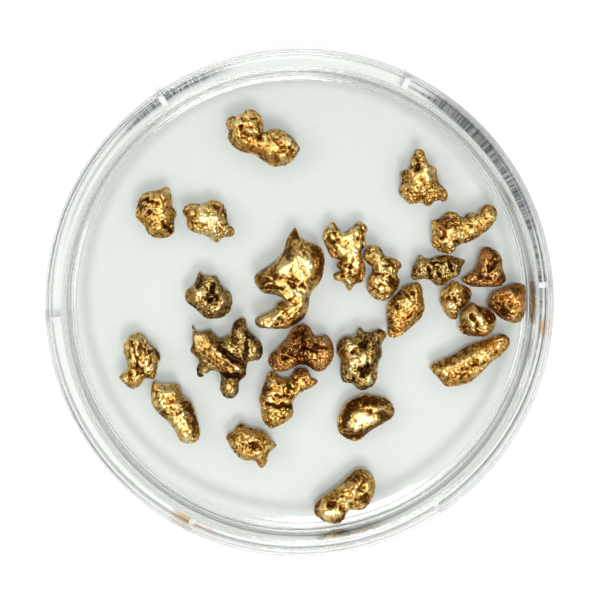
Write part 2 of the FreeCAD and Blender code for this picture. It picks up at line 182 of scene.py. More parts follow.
def sums(add, operation, first, second=0.0, clamp=False):
    """One step of arithmetic on node values."""
    node = add("ShaderNodeMath", {0: first, 1: second}, operation=operation, use_clamp=clamp)
    return node.outputs[0]


# ---------------------------------------------------------------- gold

# Each tone: high spots, plain surface, recesses, and the deepest pits, in linear colour.
TONES = {
    "rich": ((1.00, 0.86, 0.47), (0.86, 0.57, 0.180), (0.50, 0.26, 0.048), (0.10, 0.036, 0.008)),
    "pale": ((1.00, 0.92, 0.58), (0.96, 0.73, 0.290), (0.62, 0.36, 0.080), (0.12, 0.048, 0.010)),
    "copper": ((1.00, 0.77, 0.42), (0.72, 0.40, 0.120), (0.40, 0.175, 0.038), (0.08, 0.026, 0.008)),
    "olive": ((0.98, 0.86, 0.50), (0.60, 0.43, 0.140), (0.28, 0.160, 0.040), (0.05, 0.022, 0.009)),
}


# The colour of iron stains on the gold.
AMBER = (0.62, 0.24, 0.035)


def gold_material(name, tone, seed):
    """Natural gold: colour by height and in patches, painted shade on steep sides, dark dirt in the pits, uneven gloss.
    """
    high, plain, low, pit = TONES[tone]
    material, add = new_material(name)
    where = add("ShaderNodeTexCoord").outputs["Object"]
    relief = add("ShaderNodeAttribute", attribute_name="relief").outputs["Fac"]
    patches = noise_of(add, 420.0, 3.0, 0.55, where, seed)
    fine = noise_of(add, 3600.0, 3.0, 0.6, where, seed + 3.0)
    wander = sums(add, "MULTIPLY_ADD", patches, 0.5)
    wander.node.inputs[2].default_value = -0.25
    level = sums(add, "ADD", relief, wander)
    # Colour by the relief level: height, plus painted shade by slope.
    by_height_and_slope_shade = ramp(add, level, ((0.10, low), (0.38, plain), (0.72, high)))
    warm = ramp(add, noise_of(add, 300.0, 2.0, 0.5, where, seed + 7.0), ((0.55, (0, 0, 0)), (0.70, (1, 1, 1))))
    amber = add("ShaderNodeAttribute", attribute_name="amber").outputs["Fac"]
    stained = sums(add, "MAXIMUM", sums(add, "MULTIPLY", warm, 0.35), sums(add, "MULTIPLY", amber, 0.75))
    coloured = mixed(add, stained, by_height_and_slope_shade, AMBER)
    dirt = ramp(add, sums(add, "MULTIPLY_ADD", fine, 0.16), ((0.08, (1, 1, 1)), (0.21, (0, 0, 0))))
    dirt_height = dirt.node.inputs["Fac"].links[0].from_node
    material.node_tree.links.new(relief, dirt_height.inputs[2])
    colour = mixed(add, dirt, coloured, pit)
    rough = sums(add, "MULTIPLY_ADD", fine, 0.30)
    rough.node.inputs[2].default_value = 0.20
    bump = add("ShaderNodeBump", {"Height": fine, "Strength": 0.7, "Distance": 0.00007})
    shader = add(
        "ShaderNodeBsdfPrincipled",
        {"Base Color": colour, "Metallic": 1.0, "Roughness": rough, "Normal": bump.outputs["Normal"]},
    )
    add("ShaderNodeOutputMaterial", {"Surface": shader.outputs["BSDF"]})
    return material


def mark(radius, *points, height=0.0, tint=0.0, calm=0.0, amber=0.0):
    """One feature of a nugget's top: a soft-edged stroke along points, which are shares of its box.

    The radius and the height are in millimetres.  Tint makes it paler or darker, calm takes
    away the lumps and the grain, and amber stains it.
    """
    return {"radius": radius, "points": points, "height": height, "tint": tint, "calm": calm, "amber": amber}


def pit(radius, *points, deep=0.6):
    """A dirty hole or crevice."""
    return mark(radius, *points, height=-deep, tint=-0.9)


def crease(*points, radius=0.22, deep=0.35):
    """A narrow groove with some dirt in it."""
    return mark(radius, *points, height=-deep, tint=-0.4)


def knob(radius, *points, height=0.35, tint=0.35, **more):
    """A raised, worn and so paler lump or ridge."""
    return mark(radius, *points, height=height, tint=tint, **more)


def stain(radius, *points, amber=0.8, **more):
    """A patch stained amber by iron."""
    return mark(radius, *points, amber=amber, **more)


# Each nugget: tone, size and depth of its lumps, size and depth of its grain, and its marks.
NUGGETS = {
    "kidney": ("rich", (1.9, 0.30), (0.50, 0.08), (
        knob(0.8, (0.32, 0.65), height=0.5, tint=0.5),
        crease((0.21, 0.72), (0.22, 0.56), (0.36, 0.52)),
        knob(0.8, (0.12, 0.76)),
        crease((0.10, 0.68), (0.25, 0.71), (0.42, 0.72), (0.46, 0.60)),
        knob(0.9, (0.32, 0.90), tint=0.1),
        crease((0.20, 0.83), (0.45, 0.84)),
        pit(0.5, (0.45, 0.51), deep=0.9),
        stain(1.0, (0.22, 0.38), (0.45, 0.30), calm=0.5),
        stain(1.4, (0.72, 0.25)),
        knob(0.4, (0.85, 0.45), (0.93, 0.35), (0.97, 0.22), tint=0.7),
        crease((0.87, 0.32), (0.90, 0.15), deep=0.5),
        knob(0.8, (0.62, 0.55), height=0.2, tint=0.4),
        knob(0.6, (0.13, 0.57), height=0.2),
        knob(0.4, (0.72, 0.08), (0.84, 0.10), height=0.1, tint=0.4),
    )),
    "pear": ("rich", (1.3, 0.28), (0.48, 0.09), (
        knob(0.7, (0.40, 0.90), height=0.5, tint=0.0),
        crease((0.30, 0.81), (0.50, 0.81), deep=0.5),
        pit(0.6, (0.37, 0.68), deep=0.9),
        knob(1.2, (0.57, 0.58), height=0.4, tint=0.5, calm=0.7),
        crease((0.42, 0.52), (0.48, 0.40), (0.65, 0.42), (0.73, 0.52)),
        stain(0.7, (0.15, 0.55), amber=0.6, height=0.2),
        knob(0.35, (0.08, 0.35), (0.14, 0.16), (0.28, 0.10)),
        knob(0.6, (0.28, 0.34), height=0.2, tint=0.5),
        pit(0.35, (0.15, 0.29), deep=0.4),
        stain(0.8, (0.35, 0.15), tint=-0.2),
        stain(0.8, (0.86, 0.20), amber=0.6),
        knob(0.3, (0.44, 0.25), (0.58, 0.32), tint=0.5),
    )),
    "heel": ("rich", (1.5, 0.28), (0.55, 0.08), (
        pit(0.3, (0.28, 0.75), (0.40, 0.70), (0.56, 0.69), deep=0.7),
        crease((0.18, 0.62), (0.35, 0.65)),
        pit(0.35, (0.35, 0.50), deep=0.5),
        knob(0.3, (0.24, 0.52), (0.30, 0.60), (0.42, 0.57), height=0.25, tint=0.5),
        pit(0.35, (0.70, 0.32), (0.78, 0.20), (0.86, 0.16), deep=0.8),
        knob(0.8, (0.40, 0.82), height=0.2),
        knob(0.7, (0.72, 0.67), height=0.25, tint=0.5),
        knob(0.6, (0.53, 0.42), tint=0.5),
        stain(0.5, (0.86, 0.47), amber=0.6, tint=0.3),
        knob(0.6, (0.75, 0.10), height=0.2),
        stain(0.8, (0.20, 0.42), amber=0.6),
        stain(0.8, (0.47, 0.14), amber=0.6),
    )),
    "slab": ("pale", (1.2, 0.26), (0.45, 0.10), (
        pit(0.6, (0.65, 0.86)),
        pit(0.45, (0.72, 0.38), deep=0.4),
        mark(0.5, (0.82, 0.76), (0.86, 0.50), tint=-0.6),
        stain(0.4, (0.20, 0.66), (0.15, 0.55), height=-0.3),
        knob(0.9, (0.65, 0.60), height=0.2, tint=0.5),
        knob(0.8, (0.35, 0.66), height=0.2),
        knob(0.6, (0.60, 0.28), height=0.2, tint=0.4),
        stain(0.7, (0.90, 0.22), amber=0.6),
        crease((0.25, 0.45), (0.45, 0.42)),
    )),
    "boot": ("rich", (1.3, 0.28), (0.45, 0.10), (
        knob(0.7, (0.30, 0.80), tint=0.0),
        knob(0.6, (0.60, 0.78), tint=0.1),
        knob(0.3, (0.09, 0.48), (0.14, 0.38), tint=0.7),
        knob(0.45, (0.22, 0.42), height=0.2, tint=0.7),
        knob(0.35, (0.42, 0.46), (0.31, 0.37), tint=0.5),
        crease((0.12, 0.55), (0.19, 0.36), (0.14, 0.28), deep=0.45),
        knob(0.55, (0.48, 0.30), tint=0.7),
        pit(0.5, (0.36, 0.25), deep=0.5),
        knob(0.5, (0.24, 0.10), (0.31, 0.19), height=0.25, tint=0.7),
        mark(0.7, (0.44, 0.14), tint=-0.8),
        stain(1.0, (0.70, 0.55), amber=0.5),
        knob(0.6, (0.91, 0.78), tint=0.4),
        knob(0.4, (0.77, 0.76), height=0.2, tint=0.4),
        crease((0.66, 0.84), (0.75, 0.78)),
        mark(0.9, (0.12, 0.66), (0.32, 0.60), tint=-0.4),
    )),
    "great": ("pale", (3.2, 0.11), (0.60, 0.06), (
        mark(1.5, (0.08, 0.57), (0.30, 0.69), (0.46, 0.80), height=-0.7, tint=-0.5, calm=0.8, amber=0.5),
        mark(1.1, (0.88, 0.80), (0.97, 0.68), (0.93, 0.50), height=-0.7, tint=-0.65, amber=0.5),
        mark(1.0, (0.60, 0.94), tint=-0.5),
        mark(0.8, (0.50, 0.80), tint=-0.3, amber=0.5),
        knob(1.1, (0.40, 0.59), (0.60, 0.73), height=0.4, tint=0.3, calm=0.3),
        knob(1.5, (0.72, 0.66), height=0.3, tint=0.3, calm=0.2),
        crease((0.66, 0.83), (0.80, 0.76), (0.84, 0.64)),
        crease((0.60, 0.70), (0.74, 0.55)),
        pit(0.45, (0.17, 0.49), deep=0.5),
        stain(1.0, (0.03, 0.50), (0.10, 0.44), amber=0.9),
        crease((0.06, 0.41), (0.25, 0.42), (0.40, 0.40), deep=0.5),
        crease((0.20, 0.54), (0.45, 0.52), (0.62, 0.49), radius=0.3),
        pit(0.28, (0.48, 0.47), (0.56, 0.43), deep=0.7),
        pit(0.28, (0.66, 0.44), (0.72, 0.42), deep=0.7),
        stain(1.0, (0.34, 0.48), (0.60, 0.50), amber=0.7),
        stain(0.9, (0.76, 0.50), amber=0.7),
        stain(0.9, (0.38, 0.35), amber=0.6),
        knob(0.6, (0.54, 0.40), (0.63, 0.34), tint=0.4),
        crease((0.52, 0.28), (0.76, 0.31), radius=0.35, deep=0.5),
        knob(1.0, (0.48, 0.13), (0.68, 0.25), height=0.4, tint=0.2, calm=0.6),
        crease((0.34, 0.12), (0.54, 0.25), radius=0.16, deep=0.28),
        crease((0.40, 0.09), (0.60, 0.22), radius=0.16, deep=0.28),
        crease((0.48, 0.08), (0.66, 0.19), radius=0.16, deep=0.20),
        knob(0.7, (0.34, 0.22), tint=0.2),
        crease((0.32, 0.02), (0.34, 0.12), deep=0.4),
        stain(0.8, (0.40, 0.05), (0.50, 0.06)),
        mark(0.8, (0.72, 0.13), (0.60, 0.05), tint=-0.8),
    )),
    "star": ("pale", (1.8, 0.22), (0.55, 0.07), (
        crease((0.05, 0.72), (0.35, 0.70), (0.55, 0.63), (0.72, 0.68), (0.80, 0.80), deep=0.4),
        knob(1.0, (0.30, 0.77), (0.62, 0.80), height=0.15, tint=0.3, calm=0.5),
        knob(1.1, (0.70, 0.55), tint=0.4),
        crease((0.88, 0.86), (0.92, 0.62), deep=0.4),
        crease((0.15, 0.60), (0.30, 0.52)),
        pit(0.28, (0.26, 0.84), (0.31, 0.75), deep=0.4),
        pit(0.25, (0.11, 0.75), deep=0.4),
        stain(0.9, (0.55, 0.45)),
        stain(0.7, (0.35, 0.36), tint=-0.3),
        stain(0.8, (0.85, 0.38)),
        stain(1.0, (0.83, 0.20), amber=0.9, tint=-0.5, height=-0.7),
        knob(0.6, (0.30, 0.20), tint=0.2),
        knob(0.7, (0.58, 0.10), tint=0.2),
        crease((0.42, 0.24), (0.62, 0.25), deep=0.4),
        crease((0.60, 0.35), (0.82, 0.30), deep=0.4),
    )),
    "claw": ("pale", (1.1, 0.28), (0.45, 0.10), (
        pit(0.7, (0.12, 0.58), deep=1.2),
        pit(0.3, (0.25, 0.50), (0.52, 0.48), deep=0.5),
        pit(0.5, (0.70, 0.42), (0.76, 0.32), deep=0.9),
        knob(0.6, (0.28, 0.88), (0.42, 0.66)),
        knob(0.35, (0.50, 0.56), tint=0.5),
        knob(0.35, (0.65, 0.53), tint=0.5),
        knob(0.35, (0.74, 0.47), tint=0.5),
        stain(0.6, (0.60, 0.76), (0.92, 0.60), tint=-0.3),
        pit(0.22, (0.54, 0.64), (0.76, 0.67), deep=0.4),
        crease((0.18, 0.30), (0.32, 0.18), (0.60, 0.12)),
        pit(0.28, (0.42, 0.30), deep=0.3),
        knob(0.5, (0.28, 0.36), height=0.2, tint=0.4),
        mark(0.7, (0.86, 0.35), (0.80, 0.18), tint=-0.5),
        pit(0.25, (0.25, 0.83), deep=0.4),
    )),
    "leaf": ("rich", (1.5, 0.22), (0.45, 0.10), (
        crease((0.22, 0.60), (0.28, 0.40), (0.48, 0.34), (0.64, 0.40), deep=0.4),
        knob(0.25, (0.36, 0.28), (0.60, 0.32), (0.74, 0.46), tint=0.5),
        knob(0.9, (0.52, 0.60), height=0.25, tint=0.3),
        knob(0.4, (0.30, 0.67), tint=0.5),
        pit(0.28, (0.63, 0.38), deep=0.4),
        pit(0.45, (0.65, 0.83), deep=0.5),
        stain(0.9, (0.42, 0.25), (0.28, 0.15), amber=0.9),
        stain(0.6, (0.72, 0.70), amber=0.6),
        mark(0.7, (0.08, 0.68), (0.25, 0.80), tint=-0.8),
        mark(0.8, (0.92, 0.60), (0.85, 0.36), tint=-0.35, calm=0.5),
        mark(0.6, (0.05, 0.40), (0.08, 0.15), tint=-0.35),
        crease((0.35, 0.88), (0.62, 0.72)),
    )),
    "olive": ("olive", (1.1, 0.30), (0.42, 0.11), (
        knob(0.22, (0.05, 0.38), (0.15, 0.70), (0.23, 0.45), (0.05, 0.36), tint=0.7),
        pit(0.22, (0.15, 0.46), deep=0.4),
        pit(0.2, (0.35, 0.78), (0.70, 0.80), deep=0.4),
        pit(0.2, (0.30, 0.62), (0.33, 0.25), deep=0.5),
        pit(0.3, (0.72, 0.70), (0.76, 0.48), deep=0.5),
        pit(0.2, (0.48, 0.62), (0.50, 0.35), deep=0.4),
        knob(0.3, (0.37, 0.86), (0.46, 0.86), tint=0.4),
        knob(0.4, (0.41, 0.46), tint=0.5),
        knob(0.45, (0.57, 0.38), tint=0.5),
        knob(0.4, (0.65, 0.68), tint=0.5),
        knob(0.4, (0.84, 0.42), tint=0.3),
    )),
    "wedge": ("copper", (1.1, 0.32), (0.42, 0.12), (
        mark(2.5, (0.60, 0.45), tint=-0.25),
        knob(0.5, (0.50, 0.80), (0.48, 0.55), (0.50, 0.30), height=0.45, tint=0.5),
        knob(0.3, (0.42, 0.75), height=0.2, tint=0.5),
        pit(0.45, (0.60, 0.48), (0.70, 0.52), (0.73, 0.62), deep=0.8),
        knob(0.35, (0.85, 0.55), height=0.2, tint=0.8),
        knob(0.6, (0.08, 0.18), (0.25, 0.30), height=0.2, tint=0.4),
        crease((0.28, 0.37), (0.38, 0.24), (0.60, 0.20), deep=0.5),
        knob(0.4, (0.69, 0.10), height=0.2),
        mark(1.0, (0.88, 0.25), tint=-0.5),
        stain(1.0, (0.62, 0.72), amber=0.6),
    )),
    "block": ("copper", (1.0, 0.34), (0.40, 0.12), (
        mark(1.2, (0.45, 0.35), (0.45, 0.60), tint=-0.25),
        knob(0.25, (0.10, 0.72), (0.38, 0.77), (0.52, 0.83), (0.64, 0.68), tint=0.7),
        stain(1.0, (0.35, 0.66), (0.65, 0.55), amber=1.0),
        knob(0.38, (0.62, 0.12), (0.75, 0.35), (0.89, 0.42), tint=0.7),
        pit(0.45, (0.36, 0.30), deep=0.5),
        mark(1.0, (0.82, 0.86), tint=-0.35),
        knob(0.4, (0.50, 0.40), height=0.2),
        knob(0.4, (0.08, 0.40), tint=0.2),
        crease((0.15, 0.52), (0.30, 0.45), (0.28, 0.30)),
    )),
    "bean": ("pale", (1.6, 0.26), (0.50, 0.08), (
        pit(0.25, (0.18, 0.58), (0.36, 0.56), (0.46, 0.46), (0.52, 0.34), deep=0.5),
        knob(0.7, (0.45, 0.80), tint=0.4, calm=0.5),
        knob(0.3, (0.08, 0.68), (0.12, 0.78), (0.24, 0.86), height=0.2, tint=0.5),
        pit(0.2, (0.25, 0.75), deep=0.3),
        pit(0.2, (0.36, 0.66), deep=0.3),
        knob(0.9, (0.25, 0.35), tint=0.2),
        knob(0.3, (0.45, 0.20), height=0.2, tint=0.4),
        mark(0.8, (0.80, 0.70), (0.74, 0.42), tint=-0.6),
        pit(0.45, (0.60, 0.31), deep=0.4),
    )),
    "tooth": ("rich", (1.6, 0.26), (0.50, 0.08), (
        knob(0.5, (0.10, 0.72), (0.35, 0.86), (0.46, 0.65), (0.62, 0.38), height=0.5, tint=0.7, calm=0.5),
        pit(0.35, (0.27, 0.66), (0.35, 0.55), deep=0.8),
        knob(0.35, (0.15, 0.66), (0.28, 0.42), (0.38, 0.20), height=0.25, tint=0.5),
        crease((0.42, 0.45), (0.48, 0.20)),
        mark(1.0, (0.74, 0.76), (0.88, 0.58), tint=-0.7),
        pit(0.3, (0.66, 0.66), (0.78, 0.44), deep=0.6),
        stain(0.8, (0.12, 0.32), amber=0.5, tint=-0.3),
        knob(0.5, (0.72, 0.18), height=0.2),
    )),
    "finger": ("rich", (1.5, 0.26), (0.45, 0.10), (
        mark(0.9, (0.12, 0.50), (0.35, 0.62), (0.50, 0.78), (0.72, 0.88), tint=-0.5, calm=0.8),
        knob(0.9, (0.12, 0.30), (0.38, 0.52), (0.62, 0.76), height=0.2, tint=0.3),
        knob(0.7, (0.88, 0.82), height=0.2, tint=0.4),
        stain(1.0, (0.26, 0.12), (0.42, 0.20), amber=0.9, tint=-0.2),
        stain(0.7, (0.56, 0.55), amber=0.5, tint=-0.4),
        crease((0.34, 0.34), (0.50, 0.40), (0.68, 0.50), deep=0.4),
        crease((0.77, 0.92), (0.82, 0.66), deep=0.4),
        knob(0.5, (0.56, 0.25), height=0.25, tint=0.4),
        knob(0.6, (0.70, 0.62), height=0.2, tint=0.3),
    )),
    "knob": ("olive", (1.5, 0.28), (0.45, 0.09), (
        pit(0.5, (0.34, 0.77)),
        pit(0.5, (0.60, 0.73), (0.58, 0.62), deep=0.7),
        pit(0.5, (0.55, 0.42)),
        mark(1.1, (0.10, 0.55), (0.18, 0.38), calm=0.8, tint=-0.1, amber=0.4),
        knob(0.3, (0.20, 0.63), (0.30, 0.60), height=0.25, tint=0.8),
        knob(0.25, (0.24, 0.39), height=0.2, tint=0.7),
        knob(1.1, (0.78, 0.38), height=0.45, tint=0.3),
        crease((0.52, 0.53), (0.68, 0.50), (0.64, 0.28), deep=0.5),
        stain(0.5, (0.42, 0.20), amber=0.7, tint=0.3),
        knob(0.22, (0.54, 0.21), (0.66, 0.11), tint=0.8),
        knob(0.8, (0.40, 0.90), (0.64, 0.85), height=0.4, tint=0.0),
        knob(0.4, (0.73, 0.60), height=0.2, tint=0.5, amber=0.4),
    )),
    "branch": ("olive", (1.5, 0.28), (0.45, 0.09), (
        mark(1.6, (0.22, 0.68), (0.36, 0.50), (0.60, 0.40), tint=-0.35, calm=0.9, amber=0.5),
        knob(0.30, (0.32, 0.64), (0.45, 0.52), (0.69, 0.36), height=0.45, tint=0.9),
        crease((0.16, 0.58), (0.50, 0.37), radius=0.14, deep=0.16),
        crease((0.18, 0.52), (0.46, 0.36), radius=0.14, deep=0.16),
        pit(0.5, (0.42, 0.62), (0.58, 0.52), (0.72, 0.46), deep=0.7),
        knob(0.5, (0.67, 0.87), (0.72, 0.74), tint=0.8),
        mark(0.7, (0.60, 0.90), (0.62, 0.76), tint=-0.6),
        mark(0.7, (0.79, 0.92), (0.80, 0.78), tint=-0.6),
        pit(0.4, (0.78, 0.70), (0.76, 0.52), deep=0.5),
        knob(1.0, (0.88, 0.67), (0.87, 0.54), height=0.25, tint=0.4),
        knob(0.8, (0.09, 0.86), (0.08, 0.60), height=0.2, tint=0.4, amber=0.4),
        knob(0.8, (0.20, 0.36), height=0.2),
        knob(1.3, (0.55, 0.15), height=0.5, tint=0.0, amber=0.4),
        pit(0.4, (0.45, 0.31), (0.70, 0.28), deep=0.8),
    )),
    "crusty": ("copper", (0.90, 0.36), (0.38, 0.15), (
        mark(3.5, (0.50, 0.50), tint=-0.35),
        crease((0.20, 0.50), (0.45, 0.35), (0.56, 0.50), (0.80, 0.45), radius=0.3, deep=0.5),
        crease((0.56, 0.50), (0.50, 0.85), radius=0.3, deep=0.5),
        pit(0.4, (0.25, 0.32)),
        pit(0.4, (0.42, 0.56)),
        pit(0.4, (0.54, 0.18), (0.63, 0.10)),
        pit(0.4, (0.40, 0.76), deep=0.5),
        pit(0.35, (0.72, 0.56), (0.86, 0.50)),
        knob(0.5, (0.60, 0.73)),
        knob(0.7, (0.86, 0.64)),
        knob(0.5, (0.64, 0.40)),
        knob(0.5, (0.76, 0.26)),
        knob(0.6, (0.14, 0.32), height=0.25),
        knob(0.5, (0.31, 0.24), height=0.25),
        stain(0.6, (0.42, 0.27)),
    )),
    "hook": ("rich", (1.6, 0.28), (0.45, 0.09), (
        crease((0.08, 0.66), (0.32, 0.68), radius=0.3, deep=0.5),
        pit(0.32, (0.12, 0.42), (0.32, 0.39), (0.54, 0.40), deep=0.8),
        crease((0.30, 0.56), (0.58, 0.55), deep=0.4),
        knob(0.7, (0.22, 0.80), height=0.2, tint=0.5, calm=0.4),
        knob(0.5, (0.14, 0.50), height=0.25, tint=0.7),
        knob(0.5, (0.42, 0.46), height=0.25, tint=0.5),
        knob(0.4, (0.24, 0.13), tint=0.8),
        knob(0.8, (0.64, 0.76), height=0.2, tint=0.4),
        stain(1.0, (0.86, 0.76), amber=0.8),
        stain(0.7, (0.15, 0.22), amber=0.7),
        stain(0.6, (0.48, 0.53), amber=0.6),
        mark(1.1, (0.42, 0.28), tint=-0.35),
        pit(0.3, (0.49, 0.80), (0.50, 0.70), deep=0.5),
    )),
    "pitted": ("olive", (1.6, 0.28), (0.48, 0.09), (
        pit(0.65, (0.53, 0.75), deep=1.3),
        pit(0.35, (0.34, 0.63), deep=0.6),
        pit(0.6, (0.53, 0.32), (0.62, 0.39), deep=1.1),
        pit(0.3, (0.50, 0.24), deep=0.5),
        knob(1.0, (0.25, 0.76), (0.28, 0.60), height=0.2, tint=0.5),
        knob(0.9, (0.42, 0.52), (0.26, 0.36), height=0.2, tint=0.5),
        mark(0.9, (0.88, 0.70), (0.80, 0.40), tint=-0.3, calm=0.5),
        knob(0.8, (0.50, 0.93), tint=0.1),
        crease((0.40, 0.86), (0.62, 0.87)),
        knob(1.0, (0.90, 0.90), height=0.4, tint=0.0),
        knob(0.3, (0.80, 0.84), height=0.1, tint=0.6),
        knob(0.7, (0.18, 0.20), tint=0.1),
        knob(0.8, (0.44, 0.12), tint=0.3),
        knob(0.3, (0.60, 0.10), (0.68, 0.25), tint=0.5),
        crease((0.32, 0.24), (0.31, 0.10), deep=0.5),
    )),
    "half_moon": ("pale", (2.4, 0.16), (0.45, 0.06), (
        mark(1.1, (0.10, 0.34), (0.16, 0.72), (0.50, 0.90), (0.86, 0.84), height=-0.5, tint=-0.75, calm=0.6, amber=0.3),
        mark(0.8, (0.12, 0.12), (0.35, 0.08), (0.62, 0.30), (0.90, 0.48), height=-0.4, tint=-0.7, calm=0.6, amber=0.3),
        mark(1.1, (0.26, 0.55), (0.58, 0.54), height=0.25, tint=0.35, calm=0.6),
        mark(0.9, (0.28, 0.38), (0.46, 0.40), height=0.25, tint=0.35, calm=0.6),
        pit(0.25, (0.31, 0.45), deep=0.5),
        pit(0.5, (0.78, 0.60), (0.86, 0.55), deep=0.5),
        knob(0.3, (0.71, 0.69), (0.79, 0.74), tint=0.7),
        knob(0.5, (0.42, 0.78), (0.56, 0.77), height=0.1, tint=0.3),
        crease((0.30, 0.71), (0.60, 0.68), deep=0.4),
        crease((0.12, 0.22), (0.36, 0.17), (0.62, 0.34), radius=0.18),
    )),
    "clover": ("pale", (1.4, 0.24), (0.45, 0.09), (
        pit(0.22, (0.32, 0.86), (0.42, 0.60), (0.47, 0.42), deep=0.5),
        crease((0.50, 0.82), (0.60, 0.50), radius=0.18),
        crease((0.62, 0.86), (0.69, 0.55), radius=0.18),
        crease((0.26, 0.82), (0.26, 0.58), radius=0.18),
        pit(0.25, (0.79, 0.72), (0.74, 0.42), deep=0.5),
        stain(0.4, (0.57, 0.75), amber=0.7),
        knob(0.7, (0.80, 0.32), (0.87, 0.60), height=0.2),
        pit(0.4, (0.45, 0.42), (0.52, 0.30), deep=0.6),
        knob(0.6, (0.13, 0.20), tint=0.1),
        knob(0.35, (0.23, 0.13), height=0.2, tint=0.6),
        crease((0.28, 0.32), (0.30, 0.12), deep=0.4),
        stain(0.8, (0.46, 0.14), amber=0.4),
        pit(0.3, (0.90, 0.74), (0.93, 0.60), deep=0.3),
    )),
    "tongue": ("pale", (1.6, 0.24), (0.48, 0.08), (
        mark(1.0, (0.20, 0.65), height=0.15, tint=0.25, calm=0.4),
        mark(1.0, (0.40, 0.88), height=0.15, tint=0.3, calm=0.4),
        mark(1.0, (0.62, 0.42), (0.75, 0.26), height=0.25, tint=0.2, calm=0.4),
        stain(0.7, (0.42, 0.77), (0.50, 0.62), amber=0.7, height=-0.3, tint=-0.2),
        mark(0.7, (0.78, 0.66), (0.90, 0.45), (0.95, 0.15), height=-0.5, tint=-0.7),
        pit(0.35, (0.74, 0.56), deep=0.4),
        stain(0.7, (0.10, 0.85), amber=0.5, tint=-0.3),
        crease((0.28, 0.70), (0.50, 0.68), deep=0.4),
        crease((0.25, 0.52), (0.48, 0.50), (0.62, 0.54)),
        stain(0.5, (0.50, 0.25), (0.70, 0.16), amber=0.7),
        knob(0.5, (0.72, 0.07), height=0.2),
    )),
    "berry": ("rich", (1.0, 0.28), (0.42, 0.09), (
        pit(0.8, (0.57, 0.52), deep=0.7),
        knob(0.5, (0.33, 0.90)),
        knob(0.5, (0.20, 0.70)),
        knob(0.6, (0.50, 0.77), tint=0.5),
        knob(0.5, (0.37, 0.62)),
        knob(0.5, (0.75, 0.61)),
        knob(0.6, (0.91, 0.52), tint=0.5),
        knob(0.4, (0.80, 0.40)),
        knob(0.5, (0.72, 0.18), (0.71, 0.26), tint=0.5),
        stain(0.6, (0.45, 0.30), amber=0.7, height=0.3),
        crease((0.15, 0.45), (0.30, 0.44), deep=0.5),
    )),
    "peanut": ("rich", (2.0, 0.26), (0.52, 0.08), (
        knob(0.5, (0.75, 0.86), (0.66, 0.68), (0.62, 0.50), (0.48, 0.42), height=0.45, tint=0.6),
        knob(0.7, (0.18, 0.20), (0.36, 0.25), tint=0.8, calm=0.5),
        knob(0.3, (0.10, 0.33), height=0.2, tint=0.5),
        pit(0.5, (0.24, 0.38), (0.33, 0.39), deep=0.7),
        pit(0.6, (0.84, 0.52), (0.80, 0.46), deep=0.7),
        mark(0.7, (0.80, 0.70), height=-0.3, tint=-0.6, calm=0.5),
        mark(1.0, (0.15, 0.55), (0.50, 0.80), (0.68, 0.92), tint=-0.45, calm=0.4),
        pit(0.3, (0.43, 0.35), (0.50, 0.24), deep=0.6),
        knob(0.5, (0.56, 0.36), height=0.2, tint=0.3),
        mark(0.6, (0.36, 0.10), (0.52, 0.14), tint=-0.5),
    )),
}


def fine_mesh(node, name):
    """A copy of a CAD node's mesh, rebuilt with small even cells and softened edges."""
    copy = link(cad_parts[node].data.copy(), name)
    copy.data.materials.clear()
    remesh = copy.modifiers.new("cells", "REMESH")
    remesh.mode = "VOXEL"
    remesh.voxel_size = VOXEL * MM
    soften = copy.modifiers.new("soften", "SMOOTH")
    soften.factor = 0.5
    soften.iterations = 1
    evaluated = copy.evaluated_get(bpy.context.evaluated_depsgraph_get())
    mesh = bpy.data.meshes.new_from_object(evaluated)
    copy.modifiers.clear()
    copy.data = mesh
    return copy


def arrays_of(mesh):
    """Vertex places and normals of a mesh as arrays, in millimetres."""
    count = len(mesh.vertices)
    places = np.empty(count * 3)
    normals = np.empty(count * 3)
    mesh.vertices.foreach_get("co", places)
    mesh.vertex_normals.foreach_get("vector", normals)
    return places.reshape(-1, 3) / MM, normals.reshape(-1, 3)


def lumps_at(places, size, seed):
    """0 in the creases between rounded lumps and 1 on their tops, for every place."""
    shift = Vector((seed * 3.7, seed * 1.3, seed * 5.1))
    result = np.empty(len(places))
    for index, place in enumerate(places):
        point = Vector(place) / size + shift
        bent = point + 0.45 * noise.noise_vector(point * 0.9) + 0.16 * noise.noise_vector(point * 2.7)
        distances = noise.voronoi(bent)[0]
        result[index] = min(1.0, 1.25 * (distances[1] - distances[0]))
    return np.sqrt(result + 0.01) - 0.1


def waves_at(places, size, octaves, seed):
    """Fractal noise of about -1 to 1, for every place."""
    shift = Vector((seed * 2.1, seed * 4.3, seed * 0.7))
    values = [noise.fractal(Vector(place) / size + shift, 1.0, 2.0, octaves) for place in places]
    return np.array(values)


def wandered(places, seed):
    """Plan positions of places moved about by noise, so that straight strokes turn ragged."""
    moved = places[:, :2].copy()
    shift = Vector((seed * 1.9, seed * 2.3, 0.0))
    for index, place in enumerate(places):
        coarse = noise.noise_vector(Vector(place) / 1.1 + shift)
        fine = noise.noise_vector(Vector(place) / 0.4 + shift)
        moved[index] += (0.42 * coarse.x + 0.16 * fine.x, 0.42 * coarse.y + 0.16 * fine.y)
    return moved


def marks_at(plan, box, marks):
    """The summed height, tint, calm and amber of a nugget's marks, for every place in plan."""
    low = np.array(box[0])[:2] / MM
    span = np.array(box[1])[:2] / MM - low
    sums = {"height": 0.0, "tint": 0.0, "calm": 0.0, "amber": 0.0}
    for one in marks:
        points = [low + span * point for point in one["points"]]
        closest = np.full(len(plan), np.inf)
        for start, end in zip(points, points[1:] or points):
            run = end - start
            reach = np.clip((plan - start) @ run / max(run @ run, 1e-9), 0.0, 1.0)
            apart = np.linalg.norm(plan - start - reach[:, None] * run, axis=1)
            closest = np.minimum(closest, apart)
        share = np.exp(-((closest / one["radius"]) ** 2))
        for effect in sums:
            sums[effect] = sums[effect] + one[effect] * share
    return sums


